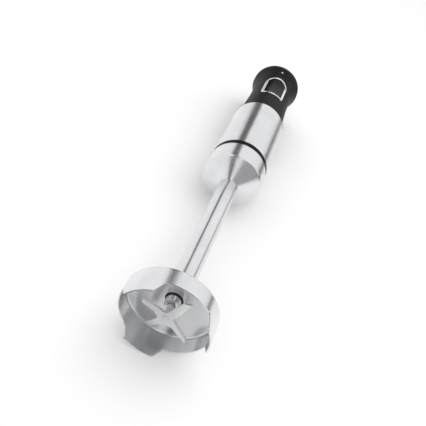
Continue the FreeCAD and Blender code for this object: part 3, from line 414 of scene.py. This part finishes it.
class StudioSettings(bpy.types.PropertyGroup):
    """Where the camera stands and how the studio is lit."""

    camera_place: FloatVectorProperty(
        name="Camera", description="Where the camera stands", default=(0.0, -0.449, 0.3485),
        subtype="XYZ", unit="LENGTH")
    camera_aim: FloatVectorProperty(
        name="Aim", description="What the camera looks at", default=(-0.0021, -0.0759, 0.0372),
        subtype="XYZ", unit="LENGTH")
    camera_roll: FloatProperty(
        name="Roll", description="How far the camera leans about its view", default=math.radians(25.3),
        subtype="ANGLE")
    lens: FloatProperty(
        name="Lens", description="Focal length on a 36 mm sensor", default=45.12, unit="CAMERA")
    floor_size: FloatProperty(
        name="Floor", description="Side of the floor", default=14.0, unit="LENGTH")
    daylight: FloatProperty(
        name="Surround", description="Brightness of the white surround", default=1.0)
    key_power: FloatProperty(
        name="Key", description="Power of the large softbox overhead", default=7.0, unit="POWER")


# ---------------------------------------------------------------- operators

class OBJECT_OT_blender_finishes(bpy.types.Operator):
    """Give every node of the frame the finish of its slot"""

    bl_idname = "object.blender_finishes"
    bl_label = "Finish the Frame"

    def execute(self, context):
        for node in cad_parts.values():
            for place in node.material_slots:
                place.material = finish_of(place.material.name)
        return {"FINISHED"}


class OBJECT_OT_button_band(bpy.types.Operator):
    """Make the rounded chrome band round the power button"""

    bl_idname = "object.button_band"
    bl_label = "Chrome Band"

    def execute(self, context):
        settings = context.scene.blender_button
        low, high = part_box("button_bezel")
        shape = bmesh.new()
        outline = d_outline(shape, low, high, settings.corner)
        bmesh.ops.inset_region(shape, faces=[outline], thickness=settings.band_width,
                               use_even_offset=True, use_boundary=True)
        bmesh.ops.delete(shape, geom=[outline], context="FACES_ONLY")
        top = raise_faces(shape, shape.faces[:])
        drape(top, high.z - crest(low, high))
        rims = {edge for vertex in top for edge in vertex.link_edges if stands_at_rim(edge, top)}
        round_edges(shape, rims, settings.band_round)
        piece = finish_piece("chrome_band", shape, "chrome_band", "handle")
        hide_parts("button_bezel")
        return {"FINISHED"}


class OBJECT_OT_button_cap(bpy.types.Operator):
    """Make the power button: a dished cap with a soft edge, on its flange, with its stem"""

    bl_idname = "object.button_cap"
    bl_label = "Power Button"

    def execute(self, context):
        settings = context.scene.blender_button
        low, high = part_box("button_bezel")
        cad_low, cad_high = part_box("power_button")
        inside = settings.band_width + settings.cap_gap
        flange_reach = inside - (high.x - cad_high.x)
        floor = cad_low.z + STEM
        # The flange slides under the band, and the crown rises through it.
        shape = bmesh.new()
        flange = d_outline(shape, Vector((cad_low.x, cad_low.y, floor)), cad_high,
                           settings.corner - settings.band_width + 2 * flange_reach)
        top = top_face(raise_faces(shape, [flange]))
        for vertex in top.verts:
            vertex.co.z = floor + FLANGE
        bmesh.ops.inset_region(shape, faces=[top], thickness=flange_reach, use_even_offset=True)
        crown = raise_faces(shape, [top])
        bmesh.ops.delete(shape, geom=[top], context="FACES_ONLY")
        top = top_face(crown)
        # A grid of cuts lets the crown follow the grip and take its dish.
        reach_x = high.x - inside
        reach_y = (high.y - low.y) / 2 - inside
        middle = Vector((0, (low.y + high.y) / 2, 0))
        cut = [top, *top.edges, *top.verts]
        for normal, reach in ((Vector((1, 0, 0)), reach_x), (Vector((0, 1, 0)), reach_y)):
            count = int(reach / CROWN_SPACING)
            for step in range(1 - count, count):
                place = middle + normal * (step * reach / count)
                cut = bmesh.ops.bisect_plane(shape, geom=cut, plane_co=place, plane_no=normal)["geom"]
        crown = [part for part in cut if isinstance(part, bmesh.types.BMVert)]
        rim = [vertex for vertex in crown if any(is_upright(face) for face in vertex.link_faces)]
        drape(crown, cad_high.z - crest(cad_low, cad_high))
        for vertex in crown:
            across = math.hypot(vertex.co.x / reach_x, (vertex.co.y - middle.y) / reach_y)
            vertex.co.z -= settings.dish * max(0.0, 1 - across ** 2)
        rims = {edge for vertex in rim for edge in vertex.link_edges if stands_at_rim(edge, crown)}
        round_edges(shape, rims, settings.cap_round)
        # The stem ends half way up the flange.
        depth = STEM + FLANGE / 2
        bmesh.ops.create_cone(
            shape, cap_ends=True, segments=32, radius1=STEM_RADIUS, radius2=STEM_RADIUS, depth=depth,
            matrix=Matrix.Translation((0, middle.y, cad_low.z + depth / 2)))
        piece = finish_piece("power_button_cap", shape, "gloss_black", "button")
        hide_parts("power_button")
        return {"FINISHED"}


class OBJECT_OT_button_spring(bpy.types.Operator):
    """Wind the spring under the power button"""

    bl_idname = "object.button_spring"
    bl_label = "Button Spring"

    def execute(self, context):
        settings = context.scene.blender_button
        wire_sides = 10
        steps_a_turn = 28
        low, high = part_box("button_spring")
        wire = settings.wire
        middle = (low + high) / 2
        rise = high.z - low.z - 2 * wire
        shape = bmesh.new()
        start = Matrix.Translation((high.x - wire, middle.y, low.z + wire))
        bmesh.ops.create_circle(
            shape, segments=wire_sides, radius=wire, matrix=start @ Matrix.Rotation(math.pi / 2, 4, "X"))
        steps = settings.turns * steps_a_turn
        bmesh.ops.spin(shape, geom=shape.edges[:], cent=(0, middle.y, 0), axis=(0, 0, 1),
                       dvec=(0, 0, rise / steps), angle=settings.turns * math.tau, steps=steps)
        bmesh.ops.holes_fill(shape, edges=[edge for edge in shape.edges if edge.is_boundary])
        piece = finish_piece("button_spring_wire", shape, "spring_steel", "handle")
        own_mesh(piece)
        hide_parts("button_spring")
        return {"FINISHED"}


class OBJECT_OT_ground_blade(bpy.types.Operator):
    """Grind the long edges of the blade's arms on the side towards the mouth"""

    bl_idname = "object.ground_blade"
    bl_label = "Ground Blade"

    def execute(self, context):
        settings = context.scene.blender_blade
        micron = MM / 1000
        flat = math.radians(1)
        square = math.radians(60)
        towards_mouth = -0.6
        fewest = 8
        shape = bmesh.new()
        shape.from_mesh(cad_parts["blade"].data)
        bmesh.ops.remove_doubles(shape, verts=shape.verts, dist=micron)
        bmesh.ops.dissolve_limit(shape, angle_limit=flat, verts=shape.verts, edges=shape.edges)
        bmesh.ops.recalc_face_normals(shape, faces=shape.faces)
        # The long square edges on the side whose faces look towards the bell's mouth.
        edges = {edge for edge in shape.edges if edge.calc_length() > settings.shortest
                 and edge.calc_face_angle() > square
                 and min(face.normal.y for face in edge.link_faces) < towards_mouth}
        if len(edges) < fewest:
            raise RuntimeError(f"only {len(edges)} long edges found on the blade")
        bmesh.ops.bevel(shape, geom=list(edges), offset=settings.grind, offset_type="OFFSET", segments=1,
                        profile=0.5, affect="EDGES", material=-1, clamp_overlap=False)
        piece = finish_piece("ground_blade", shape, "blade_steel", "drive")
        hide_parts("blade")
        return {"FINISHED"}


class OBJECT_OT_blender_studio(bpy.types.Operator):
    """Set up the floor, the flags, the lights and the camera"""

    bl_idname = "object.blender_studio"
    bl_label = "Set Up the Studio"

    def execute(self, context):
        settings = context.scene.blender_studio
        add_floor(settings)
        add_flags()
        add_lights(context.scene, settings)
        add_camera(context.scene, settings)
        return {"FINISHED"}


def add_object(name, data):
    """A new object in the scene that holds that mesh, lamp or lens."""
    made = bpy.data.objects.new(name, data)
    bpy.context.scene.collection.objects.link(made)
    return made


def mesh_from(name, shape):
    """A mesh of that shape, which is freed."""
    mesh = bpy.data.meshes.new(name)
    shape.to_mesh(mesh)
    shape.free()
    return mesh


def finish_piece(name, shape, slot, body):
    """A smooth-shaded object of that shape with its slot's finish, which moves with that body."""
    stays_sharp = math.radians(25)
    bmesh.ops.recalc_face_normals(shape, faces=shape.faces)
    piece = add_object(name, mesh_from(name, shape))
    piece.data.shade_smooth()
    piece.data.set_sharp_from_angle(angle=stays_sharp)
    piece.data.materials.append(finish_of(slot))
    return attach(piece, body)


def grip_radius():
    """The grip's radius as a smooth function of y, measured on the side of its rear shell."""
    outside = 0.1
    degree = 4
    low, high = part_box("button_bezel")
    tree = BVHTree.FromObject(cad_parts["grip_rear"], bpy.context.evaluated_depsgraph_get())
    places = np.linspace(low.y, high.y, GRIP_PLACES)
    starts = [Vector((outside, y, AXIS_HEIGHT - GRIP_BELOW)) for y in places]
    hits = [tree.ray_cast(start, Vector((-1, 0, 0)))[0] for start in starts]
    fit = np.polyfit(places - low.y, [math.hypot(hit.x, GRIP_BELOW) for hit in hits], degree)
    return lambda y: float(np.polyval(fit, y - low.y))


def crest(low, high):
    """The highest z of the grip's form between two corners' y."""
    radius = grip_radius()
    return AXIS_HEIGHT + max(radius(y) for y in np.linspace(low.y, high.y, GRIP_PLACES))


def drape(vertices, proud):
    """Lay vertices on the grip's form, that far proud of it."""
    radius = grip_radius()
    for vertex in vertices:
        vertex.co.z = AXIS_HEIGHT + math.sqrt((radius(vertex.co.y) + proud) ** 2 - vertex.co.x ** 2)


def add_rectangle(shape, middle, sides, turn=Matrix.Identity(4)):
    """A rectangle with those two sides about its middle, flat or turned, and its vertices."""
    return bmesh.ops.create_grid(
        shape, x_segments=1, y_segments=1, size=0.5,
        matrix=Matrix.Translation(middle) @ turn @ Matrix.Diagonal((*sides, 1, 1)))["verts"]


def d_outline(shape, low, high, corner):
    """A flat D-shaped face: nearly a half circle at the far end, two small corners at the near end."""
    far_steps = 20
    near_steps = 5
    middle = (low + high) / 2
    made = add_rectangle(shape, Vector((middle.x, middle.y, low.z)), (high.x - low.x, high.y - low.y))
    for far, reach, steps in ((True, FAR_ROUNDNESS * high.x, far_steps), (False, corner, near_steps)):
        corners = [vertex for vertex in made if vertex.is_valid and (vertex.co.y > middle.y) == far]
        bmesh.ops.bevel(shape, geom=corners, offset=reach, offset_type="OFFSET", segments=steps,
                        profile=0.5, affect="VERTICES", material=-1)
    for edge in shape.edges[:]:
        cuts = int(edge.calc_length() / OUTLINE_SPACING)
        if cuts:
            bmesh.ops.subdivide_edges(shape, edges=[edge], cuts=cuts)
    return next(iter(shape.faces))


def top_face(vertices):
    """The face with the most corners among those that these vertices touch."""
    return max({face for vertex in vertices for face in vertex.link_faces}, key=lambda face: len(face.verts))


def raise_faces(shape, faces):
    """Extrude faces and return the new vertices, which are still where the old ones are."""
    made = bmesh.ops.extrude_face_region(shape, geom=faces, use_keep_orig=True)
    return [part for part in made["geom"] if isinstance(part, bmesh.types.BMVert)]


def is_upright(face):
    """Whether a face stands nearer to upright than to level."""
    return abs(face.normal.z) < 0.5


def stands_at_rim(edge, top):
    """Whether an edge of the raised top borders the upright wall."""
    return set(edge.verts) <= set(top) and any(
        not set(face.verts) <= set(top) for face in edge.link_faces)


def round_edges(shape, edges, reach):
    """Round those edges over that reach in five steps."""
    bmesh.ops.bevel(shape, geom=list(edges), offset=reach, offset_type="OFFSET", segments=5,
                    profile=0.5, affect="EDGES", material=-1, clamp_overlap=True)


def add_floor(settings):
    """A plain pale sheet under the tool."""
    shape = bmesh.new()
    add_rectangle(shape, Vector((0, 0, 0)), (settings.floor_size, settings.floor_size))
    floor = add_object("studio_floor", mesh_from("studio_floor", shape))
    material, shader = new_material("matt_backdrop_paper")
    feed(material, shader, Base_Color=linear("#f4f4f4"), Roughness=0.9)
    floor.data.materials.append(material)


def add_flag(name, shape, brightness):
    """A dark flag that only reflections see, as they would a gap between softboxes or an edge of the set."""
    flag = add_object(name, mesh_from(name, shape))
    material = bpy.data.materials.new(name)
    material.use_nodes = True
    material.node_tree.nodes.clear()
    glow = add_node(material, "ShaderNodeEmission", {"Strength": brightness})
    add_node(material, "ShaderNodeOutputMaterial", {"Surface": glow.outputs["Emission"]})
    flag.data.materials.append(material)
    flag.visible_camera = False
    flag.visible_diffuse = False
    flag.visible_shadow = False


# The gap between the softboxes arches over the tool at its left, from beyond its cord to before its bell.
# It swings aside once, above the cord's end, which bends the dark band in the reflections.
GAP_RADIUS = 2.4
GAP_SIDES = (-0.975, -0.375)
GAP_ARC = math.radians(178)
GAP_STEPS = 48
GAP_BRIGHTNESS = 0.1
BUMP_DEPTH = 0.4
BUMP_ANGLE = math.radians(47)
BUMP_WIDTH = math.radians(5)

# The other flags: each one's name, two opposite corners in metres, and brightness.
UPRIGHT_FLAGS = (
    ("low_edge", (0.3, 0.3, 0.0), (0.3, 1.2, 0.075), 0.05),
    ("bell_edge", (0.3, -0.3, 0.065), (0.3, 0.25, 0.12), 0.05),
    ("right_front", (1.1, -0.15, 0.0), (0.15, -1.5, 1.5), 0.4),
)
FLOOR_MATS = (
    ("side_mat", (0.19, 0.1), (0.3, 1.2), 0.05),
    ("front_mat", (-0.2, -0.45), (0.02, -0.24), 0.3),
)

KEY_PLACE = (0.5, 0.2, 1.6)
KEY_SIZE = 1.6
SENSOR_WIDTH = 36.0


def add_gap():
    """The gap that runs over the tool from end to end."""
    centre = Vector((0, 0, AXIS_HEIGHT))
    shape = bmesh.new()
    ends = [shape.verts.new(centre + Vector((x, GAP_RADIUS, 0))) for x in GAP_SIDES]
    edge = shape.edges.new(ends)
    bmesh.ops.spin(shape, geom=[edge], cent=centre, axis=(1, 0, 0), angle=GAP_ARC, steps=GAP_STEPS)
    for vertex in shape.verts:
        rise = math.atan2(vertex.co.z, vertex.co.y)
        vertex.co.x -= BUMP_DEPTH * math.exp(-((rise - BUMP_ANGLE) / BUMP_WIDTH) ** 2)
    add_flag("softbox_gap", shape, GAP_BRIGHTNESS)


def add_upright_flag(name, low, high, brightness):
    """An upright flag between two corners."""
    low, high = Vector(low), Vector(high)
    across = Vector((high.x - low.x, high.y - low.y, 0))
    turn = across.to_track_quat("X", "Y").to_matrix().to_4x4()
    shape = bmesh.new()
    add_rectangle(shape, (low + high) / 2, (across.length, high.z - low.z), turn)
    add_flag(name, shape, brightness)


def add_mat(name, low, high, brightness):
    """A flag that lies just above the floor between two corners."""
    low, high = Vector((*low, MM / 2)), Vector((*high, MM / 2))
    shape = bmesh.new()
    add_rectangle(shape, (low + high) / 2, (high.x - low.x, high.y - low.y))
    add_flag(name, shape, brightness)


def add_flags():
    """The gap between the softboxes, the dark edges of the set at the tool's right, and two mats."""
    add_gap()
    for flag in UPRIGHT_FLAGS:
        add_upright_flag(*flag)
    for mat in FLOOR_MATS:
        add_mat(*mat)


def add_lights(scene, settings):
    """A white surround, and one large softbox above that reflections don't see."""
    world = bpy.data.worlds.new("white_surround")
    scene.world = world
    world.use_nodes = True
    world.node_tree.nodes["Background"].inputs["Color"].default_value = (1, 1, 1, 1)
    world.node_tree.nodes["Background"].inputs["Strength"].default_value = settings.daylight
    lamp = bpy.data.lights.new("key_softbox", "AREA")
    lamp.energy = settings.key_power
    lamp.size = KEY_SIZE
    key = add_object("key_softbox", lamp)
    key.location = KEY_PLACE
    key.rotation_mode = "QUATERNION"
    key.rotation_quaternion = (Vector((0, 0, AXIS_HEIGHT)) - key.location).to_track_quat("-Z", "Y")
    key.visible_camera = False
    key.visible_glossy = False


def add_camera(scene, settings):
    """The camera: it looks down the tool from the bell's end, leaning to one side."""
    lens = bpy.data.cameras.new("camera")
    lens.lens = settings.lens
    lens.sensor_width = SENSOR_WIDTH
    camera = add_object("camera", lens)
    camera.location = settings.camera_place
    view = Vector(settings.camera_aim) - Vector(settings.camera_place)
    camera.rotation_mode = "QUATERNION"
    camera.rotation_quaternion = view.to_track_quat("-Z", "Y") @ Quaternion((0, 0, 1), settings.camera_roll)
    scene.camera = camera
    scene.view_settings.view_transform = "Standard"


# ---------------------------------------------------------------- panel and registration

OPERATORS = (OBJECT_OT_blender_finishes, OBJECT_OT_button_band, OBJECT_OT_button_cap,
             OBJECT_OT_button_spring, OBJECT_OT_ground_blade, OBJECT_OT_blender_studio)


class VIEW3D_PT_blender(bpy.types.Panel):
    """The buttons that make each piece"""

    bl_label = "Immersion Blender"
    bl_idname = "VIEW3D_PT_immersion_blender"
    bl_space_type = "VIEW_3D"
    bl_region_type = "UI"
    bl_category = "Immersion Blender"

    def draw(self, context):
        for operator in OPERATORS:
            self.layout.operator(operator.bl_idname)


CLASSES = (ButtonSettings, BladeSettings, StudioSettings, *OPERATORS, VIEW3D_PT_blender)


def register():
    """Registers the classes and gives the scene its settings."""
    for made in CLASSES:
        bpy.utils.register_class(made)
    bpy.types.Scene.blender_button = PointerProperty(type=ButtonSettings)
    bpy.types.Scene.blender_blade = PointerProperty(type=BladeSettings)
    bpy.types.Scene.blender_studio = PointerProperty(type=StudioSettings)


def unregister():
    """Takes the settings and the classes away again."""
    del bpy.types.Scene.blender_studio
    del bpy.types.Scene.blender_blade
    del bpy.types.Scene.blender_button
    for made in reversed(CLASSES):
        bpy.utils.unregister_class(made)


def main():
    register()
    for operator in OPERATORS:
        area, name = operator.bl_idname.split(".")
        getattr(getattr(bpy.ops, area), name)()


if __name__ == "__main__":
    main()
